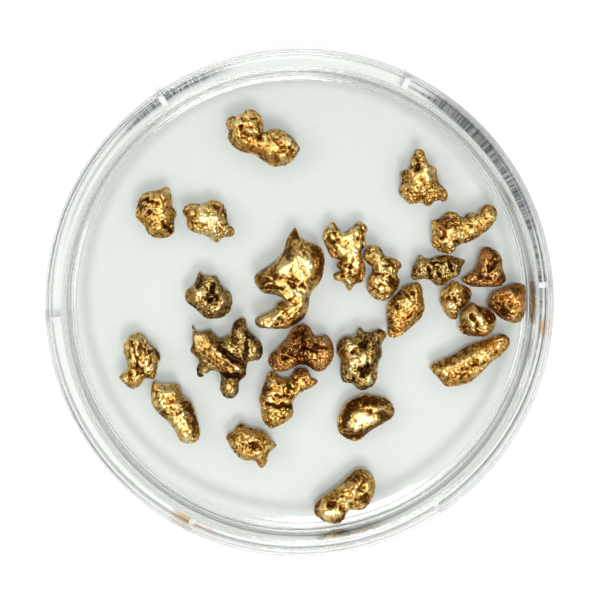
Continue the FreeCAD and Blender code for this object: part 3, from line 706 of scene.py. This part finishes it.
def crown_at(places, box):
    """0.5 over the middle of a nugget's plan box, falling to -0.5 at the middles of its sides."""
    middle = np.array((box[0] + box[1]) / 2)[:2] / MM
    half = np.array((box[1] - box[0]) / 2)[:2] / MM
    return 0.5 - np.clip((((places[:, :2] - middle) / half) ** 2).sum(axis=1), 0.0, 1.0)


def make_nugget(name, seed):
    """One nugget: its CAD lump with relief, as a piece that rides on the nugget's own body."""
    tone, (lump_size, lump_depth), (grain_size, grain_depth), marks = NUGGETS[name]
    node = f"{name}_nugget"
    piece = fine_mesh(node, f"{name}_gold")
    places, normals = arrays_of(piece.data)
    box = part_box(node)
    floor = box[0].z / MM
    upper = np.clip(normals[:, 2] * 1.5, 0.0, 1.0)
    own = marks_at(wandered(places, seed), box, marks)
    calm = np.clip(own["calm"], 0.0, 1.0) * upper
    lumps = lumps_at(places, lump_size, seed)
    waves = waves_at(places, 2.6, 3, seed)
    grain = waves_at(places, grain_size, 3, seed + 11.0) + 1.4 * lumps_at(places, grain_size * 1.2, seed + 5.0) - 0.7
    grain *= 1.0 - 0.45 * calm
    lift = lump_depth * (2.4 - 0.6 * upper) * (lumps - 0.26) * (1.0 - calm) + grain_depth * 1.35 * grain
    places += normals * np.clip(lift, -1.0, MOST_OUT)[:, None]
    places[:, 2] += upper * (own["height"] + 0.35 * waves * (1.0 - 0.6 * calm) - 0.25)
    places[:, 2] += upper * CROWN * (box[1].z - box[0].z) / MM * crown_at(places, box)
    places[:, 2] = np.maximum(places[:, 2], floor)
    relief = 0.03 + 0.52 * lumps + 0.04 * calm + 0.24 * grain + 0.20 * waves
    # Painted shade by slope: steep sides darker, upward faces paler.
    relief += 0.14 * (upper - 0.6) + 0.55 * np.clip(own["tint"], -1.2, 1.0) * upper
    piece.data.vertices.foreach_set("co", (places * MM).ravel())
    for title, values in (("relief", relief), ("amber", own["amber"] * upper)):
        attribute = piece.data.attributes.new(title, "FLOAT", "POINT")
        attribute.data.foreach_set("value", np.clip(values, 0.0, 1.0).astype(np.float32))
    smooth_shaded(piece.data)
    piece.data.update()
    piece.data.materials.append(gold_material(f"{name} gold", tone, seed))
    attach(piece, node)
    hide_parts(node)


# ---------------------------------------------------------------- clear plastic


# The colour of clean plastic, of the amber stains on it, of the painted dark reflections near its walls, and of the
# painted soft shadow ring on the dish floor.
CLEAR = (0.972, 0.985, 0.975)
AMBER_STAIN = (0.66, 0.25, 0.015)
PAINTED_DARK_REFLECTION = (0.004, 0.006, 0.009)
SHADE = (0.50, 0.51, 0.50)

# Where the lid is stained: each arc's angle and half its spread in degrees, its radius, height
# and half its width in millimetres, and its strength.
AMBER_ARCS = (
    (241.5, 2.6, 44.4, 1.4, 1.3, 1.0),
    (241.5, 2.2, 44.9, 8.4, 1.2, 0.6),
    (247.0, 3.5, 44.3, 1.2, 1.0, 0.55),
    (354.0, 2.2, 44.5, 1.4, 1.3, 1.0),
)
# Painted reflections of dark surroundings: dark hatched streaks on the lid's plate and rim, between the two walls.
PAINTED_REFLECTION_ARCS = (
    (121.0, 14.0, 44.2, 1.2, 0.75, 1.20),
    (146.0, 18.0, 43.9, 1.1, 0.30, 0.60),
    (59.0, 5.0, 43.9, 1.1, 0.30, 0.85),
    (47.0, 10.0, 44.2, 1.2, 1.00, 1.80),
    (29.0, 11.0, 44.1, 1.1, 0.75, 1.60),
    (12.0, 12.0, 44.2, 1.2, 0.40, 1.40),
    (338.0, 28.0, 44.2, 1.1, 0.26, 1.40),
    (275.0, 6.0, 44.3, 1.1, 0.25, 0.80),
    (155.0, 28.0, 44.93, 8.95, 0.18, 1.40),
    (213.0, 17.0, 44.93, 8.95, 0.18, 1.40),
    (32.0, 30.0, 45.2, 8.6, 0.80, 0.45),
)
# Painted dark reflections along the dish's rim.
DISH_PAINTED_REFLECTION_ARCS = (
    (36.0, 20.0, 42.05, 15.4, 0.20, 0.9),
    (345.0, 25.0, 42.1, 15.3, 0.12, 0.7),
    (235.0, 30.0, 42.1, 15.3, 0.12, 0.9),
    (160.0, 25.0, 42.1, 15.3, 0.12, 0.5),
)


def plastic_material(name, rough=0.015):
    """Clear moulded polystyrene with haze, dust and ripples, amber stains where marked, and painted dark reflections
    and a painted shadow ring where marked.
    """
    material, add = new_material(name)
    where = add("ShaderNodeTexCoord").outputs["Object"]
    smears = noise_of(add, 90.0, 4.0, 0.6, where, 2.0)
    haze = ramp(add, smears, ((0.48, (rough,) * 3), (0.75, (rough + 0.06,) * 3)))
    ripple = noise_of(add, 160.0, 1.0, 0.4, where, 5.0)
    bump = add("ShaderNodeBump", {"Height": ripple, "Strength": 0.15, "Distance": 0.00006})
    specks = ramp(add, noise_of(add, 650.0, 2.0, 0.7, where, 9.0), ((0.66, (0, 0, 0)), (0.73, (1, 1, 1))))
    tint = mixed(add, sums(add, "MULTIPLY", specks, 0.16), CLEAR, (0.55, 0.54, 0.50))
    blotches = ramp(add, noise_of(add, 520.0, 4.0, 0.7, where, 4.0), ((0.36, (0.3,) * 3), (0.58, (1, 1, 1))))
    parts = add("ShaderNodeSeparateXYZ", {"Vector": where}).outputs
    angle = sums(add, "ARCTAN2", parts["Y"], parts["X"])
    around = add("ShaderNodeCombineXYZ", {"X": angle, "Y": sums(add, "MULTIPLY", parts["Z"], 2.0)}).outputs[0]
    hatch = ramp(add, noise_of(add, 150.0, 3.0, 0.75, around, 6.0), ((0.36, (0.70,) * 3), (0.56, (1, 1, 1))))
    # Amber is a real stain; the other two marks are painted dark reflections and a painted shadow ring.
    stains = (("amber", AMBER_STAIN, blotches), ("painted_reflection", PAINTED_DARK_REFLECTION, hatch), ("shade", SHADE, 1.0))
    for title, colour, broken in stains:
        marked = add("ShaderNodeAttribute", attribute_name=title).outputs["Fac"]
        tint = mixed(add, sums(add, "MULTIPLY", marked, broken), tint, colour)
    shader = add(
        "ShaderNodeBsdfPrincipled",
        {
            "Base Color": tint,
            "Roughness": haze,
            "IOR": 1.59,
            "Transmission Weight": 1.0,
            "Normal": bump.outputs["Normal"],
        },
    )
    facing = add("ShaderNodeLayerWeight", {"Blend": 0.5}).outputs["Facing"]
    shade = ramp(add, facing, ((0.3, (0.905, 0.915, 0.905)), (0.6, (0.96, 0.965, 0.96))))
    clear = add("ShaderNodeBsdfTransparent", {"Color": shade}).outputs["BSDF"]
    surface = shader.outputs["BSDF"]
    path = add("ShaderNodeLightPath")
    for ray in ("Is Shadow Ray", "Is Diffuse Ray"):
        surface = add("ShaderNodeMixShader", {0: path.outputs[ray], 1: surface, 2: clear}).outputs["Shader"]
    add("ShaderNodeOutputMaterial", {"Surface": surface})
    return material


def frosted_material():
    """The same plastic left milky and rough by the mould."""
    material, add = new_material("frosted plastic")
    where = add("ShaderNodeTexCoord").outputs["Object"]
    grain = noise_of(add, 1800.0, 3.0, 0.6, where, 8.0)
    bump = add("ShaderNodeBump", {"Height": grain, "Strength": 0.5, "Distance": 0.00008})
    shader = add(
        "ShaderNodeBsdfPrincipled",
        {
            "Base Color": ramp(add, grain, ((0.3, (0.90, 0.91, 0.92)), (0.6, (0.99, 0.99, 0.99)))),
            "Roughness": 0.4,
            "IOR": 1.59,
            "Transmission Weight": 0.1,
            "Normal": bump.outputs["Normal"],
        },
    )
    add("ShaderNodeOutputMaterial", {"Surface": shader.outputs["BSDF"]})
    return material


def mark_arcs(piece, title, arcs, centre=(0.0, 0.0)):
    """Paint a mark's strength on a turned piece, along arcs given by where they are; the marks are amber stains,
    painted dark reflections and a painted shadow ring.

    Each arc has its angle and half its spread in degrees, its radius, height and half its width
    in millimetres, and its strength.
    """
    places, _ = arrays_of(piece.data)
    angles = np.degrees(np.arctan2(places[:, 1], places[:, 0]))
    radii = np.hypot(places[:, 0] - centre[0], places[:, 1] - centre[1])
    values = np.zeros(len(places))
    for angle, spread, radius, height, width, strength in arcs:
        turn = (angles - angle + 180.0) % 360.0 - 180.0
        away = np.hypot(radii - radius, places[:, 2] - height)
        values += strength * np.exp(-((turn / spread) ** 4) - (away / width) ** 2)
    attribute = piece.data.attributes.new(title, "FLOAT", "POINT")
    attribute.data.foreach_set("value", np.clip(values, 0.0, 1.0).astype(np.float32))


def make_dish(material):
    """The dish: foot ring, side wall with a round rim, and a floor with a hollow corner."""
    low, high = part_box("dish")
    outer = high.x / MM
    base = low.z / MM
    top = high.z / MM
    inner = outer - DISH_WALL
    floor = base + DISH_FOOT + DISH_FLOOR
    half = DISH_WALL / 2
    profile = [(0.0, base + DISH_FOOT), (outer - 1.5, base + DISH_FOOT), (outer - 1.1, base + DISH_FOOT)]
    profile += arc(outer - 0.8, base + 0.25, 0.2, 180, 270, 4)
    profile += arc(outer - 0.4, base + 0.4, 0.4, -90, 0, 6)
    profile += arc(outer - half, top - half, half, 0, 180, 14)
    profile += arc(inner - 1.3, floor + 1.3, 1.3, 0, -90, 10)
    profile += [(radius, floor) for radius in np.arange(inner - 1.6, 34.0, -0.4)]
    profile += [(0.0, floor)]
    piece = turned("dish_shell", profile)
    # A painted soft shadow ring on the floor, with its centre 1.5 mm towards +Y.
    mark_arcs(piece, "shade", ((0.0, 1e6, 38.8, floor, 1.1, 0.65),), (0.0, 1.5))
    # Painted dark reflections along the rim.
    mark_arcs(piece, "painted_reflection", DISH_PAINTED_REFLECTION_ARCS)
    piece.data.materials.append(material)
    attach(piece, "dish")
    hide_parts("dish")


def make_lid(material):
    """The upturned lid: stacking ring below, plate, and side wall with a round rim."""
    low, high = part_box("lid")
    outer = high.x / MM
    top = high.z / MM
    inner = outer - LID_WALL
    under = low.z / MM + LID_RING_RISE
    plate = under + LID_PLATE
    half = LID_WALL / 2
    ring_inner = LID_RING_OUTER - LID_RING_WIDTH
    profile = [(0.0, under), (ring_inner - 0.2, under), (ring_inner, low.z / MM)]
    profile += [(LID_RING_OUTER, low.z / MM), (LID_RING_OUTER + 0.2, under), (42.6, under), (43.6, under)]
    profile += arc(outer - 0.6, under + 0.6, 0.6, -90, 0, 7)
    profile += arc(outer - half, top - half, half, 0, 180, 14)
    profile += arc(inner - 0.5, plate + 0.5, 0.5, 0, -90, 6)
    profile += [(radius, plate) for radius in np.arange(inner - 0.6, LID_RING_OUTER, -0.12)]
    profile += [(0.0, plate)]
    piece = turned("lid_shell", profile)
    mark_arcs(piece, "amber", AMBER_ARCS)
    # Painted dark reflections between the lid's wall and the dish.
    mark_arcs(piece, "painted_reflection", PAINTED_REFLECTION_ARCS)
    piece.data.materials.append(material)
    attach(piece, "lid")
    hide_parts("lid")
    make_ribs(plate, inner)


def make_ribs(plate, wall):
    """Six low ribs that stand in the lid's corner and keep the dish in the middle."""
    mesh = bpy.data.meshes.new("lid_ribs")
    solid = bmesh.new()
    for number in range(RIB_COUNT):
        angle = math.radians(RIB_TURN + 360.0 * number / RIB_COUNT)
        along = Vector((math.cos(angle), math.sin(angle), 0.0))
        across = Vector((-along.y, along.x, 0.0)) * RIB_WIDTH / 2
        corners = ((wall - RIB_LENGTH + 0.4, 0.0), (wall + 0.05, 0.0), (wall + 0.05, RIB_RISE + 0.8))
        corners += ((wall - RIB_LENGTH + 1.0, RIB_RISE), (wall - RIB_LENGTH + 0.4, RIB_RISE - 0.5))
        sides = []
        for side in (-1, 1):
            ring = [along * r + across * side + Vector((0, 0, plate - 0.02 + z)) for r, z in corners]
            sides.append([solid.verts.new(point * MM) for point in ring])
        solid.faces.new(sides[0])
        solid.faces.new(reversed(sides[1]))
        count = len(corners)
        for index in range(count):
            following = (index + 1) % count
            solid.faces.new((sides[0][index], sides[1][index], sides[1][following], sides[0][following]))
    bmesh.ops.recalc_face_normals(solid, faces=solid.faces)
    solid.to_mesh(mesh)
    solid.free()
    piece = link(mesh, "lid_ribs")
    piece.data.materials.append(frosted_material())
    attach(piece, "lid")


# ---------------------------------------------------------------- stage, light and camera


def make_floor():
    """A plain white table top."""
    mesh = bpy.data.meshes.new("floor")
    size = 2.5
    mesh.from_pydata([(-size, -size, 0), (size, -size, 0), (size, size, 0), (-size, size, 0)], [], [(0, 1, 2, 3)])
    floor = link(mesh, "floor")
    material, add = new_material("white table")
    grain = noise_of(add, 900.0, 2.0, 0.5)
    colour = ramp(add, grain, ((0.3, (0.86, 0.86, 0.86)), (0.7, (0.89, 0.89, 0.89))))
    shader = add("ShaderNodeBsdfPrincipled", {"Base Color": colour, "Roughness": 0.8, "Specular IOR Level": 0.1})
    add("ShaderNodeOutputMaterial", {"Surface": shader.outputs["BSDF"]})
    floor.data.materials.append(material)


def softbox(name, place, size, power):
    """A square soft light that faces the middle of the dish."""
    light = bpy.data.lights.new(name, "AREA")
    light.shape = "SQUARE"
    light.size = size
    light.energy = power
    lamp = bpy.data.objects.new(name, light)
    lamp.location = place
    lamp.rotation_euler = (-Vector(place)).to_track_quat("-Z", "Y").to_euler()
    bpy.context.scene.collection.objects.link(lamp)


def make_light():
    """Soft studio light: a bright ceiling over darker walls, and two softboxes."""
    softbox("key light", (0.08, -0.30, 0.70), 0.20, 2.5)
    softbox("left light", (-0.50, 0.05, 0.55), 0.20, 0.62)
    world = bpy.data.worlds.new("studio")
    bpy.context.scene.world = world
    world.use_nodes = True
    tree = world.node_tree
    direction = tree.nodes.new("ShaderNodeTexCoord").outputs["Generated"]
    parts = tree.nodes.new("ShaderNodeSeparateXYZ")
    tree.links.new(direction, parts.inputs["Vector"])
    glow = tree.nodes.new("ShaderNodeValToRGB")
    stops = ((0.0, 0.42), (0.12, 0.42), (0.28, 0.11), (0.50, 0.11), (0.86, 1.0))
    while len(glow.color_ramp.elements) < len(stops):
        glow.color_ramp.elements.new(0.5)
    for element, (position, level) in zip(glow.color_ramp.elements, stops):
        element.position = position
        element.color = (level, level, level, 1.0)
    tree.links.new(parts.outputs["Z"], glow.inputs["Fac"])
    corner = tree.nodes.new("ShaderNodeVectorMath")
    corner.operation = "DOT_PRODUCT"
    corner.inputs[1].default_value = (0.80, 0.60, 0.0)
    tree.links.new(direction, corner.inputs[0])
    unlit = tree.nodes.new("ShaderNodeMapRange")
    unlit.interpolation_type = "SMOOTHSTEP"
    unlit.inputs["From Min"].default_value = 0.72
    unlit.inputs["From Max"].default_value = 0.96
    unlit.inputs["To Min"].default_value = 1.40
    unlit.inputs["To Max"].default_value = 0.10
    tree.links.new(corner.outputs["Value"], unlit.inputs["Value"])
    tree.links.new(glow.outputs["Color"], tree.nodes["Background"].inputs["Color"])
    tree.links.new(unlit.outputs["Result"], tree.nodes["Background"].inputs["Strength"])
    # Light has to pass many faces to come out of the clear walls again.
    cycles = bpy.context.scene.cycles
    cycles.max_bounces = 24
    cycles.glossy_bounces = 16
    cycles.transmission_bounces = 24
    cycles.transparent_max_bounces = 24
    bpy.context.scene.view_settings.view_transform = "Standard"


def make_camera():
    """Straight above the dish, at the distance of a copy stand."""
    camera = bpy.data.cameras.new("camera")
    camera.lens = 131.6
    camera.clip_start = 0.01
    holder = bpy.data.objects.new("camera", camera)
    middle = Vector((0.00007, 0.00055, 0.005))
    holder.location = (-0.009, 0.0225, 0.40)
    away = middle - holder.location
    holder.rotation_euler = (math.atan2(away.y, -away.z), -math.atan2(away.x, -away.z), 0.0)
    bpy.context.scene.collection.objects.link(holder)
    bpy.context.scene.camera = holder


make_camera()
make_light()
make_floor()
plastic = plastic_material("clear plastic")
make_lid(plastic)
make_dish(plastic)
for number, nugget_name in enumerate(NUGGETS):
    make_nugget(nugget_name, float(number))
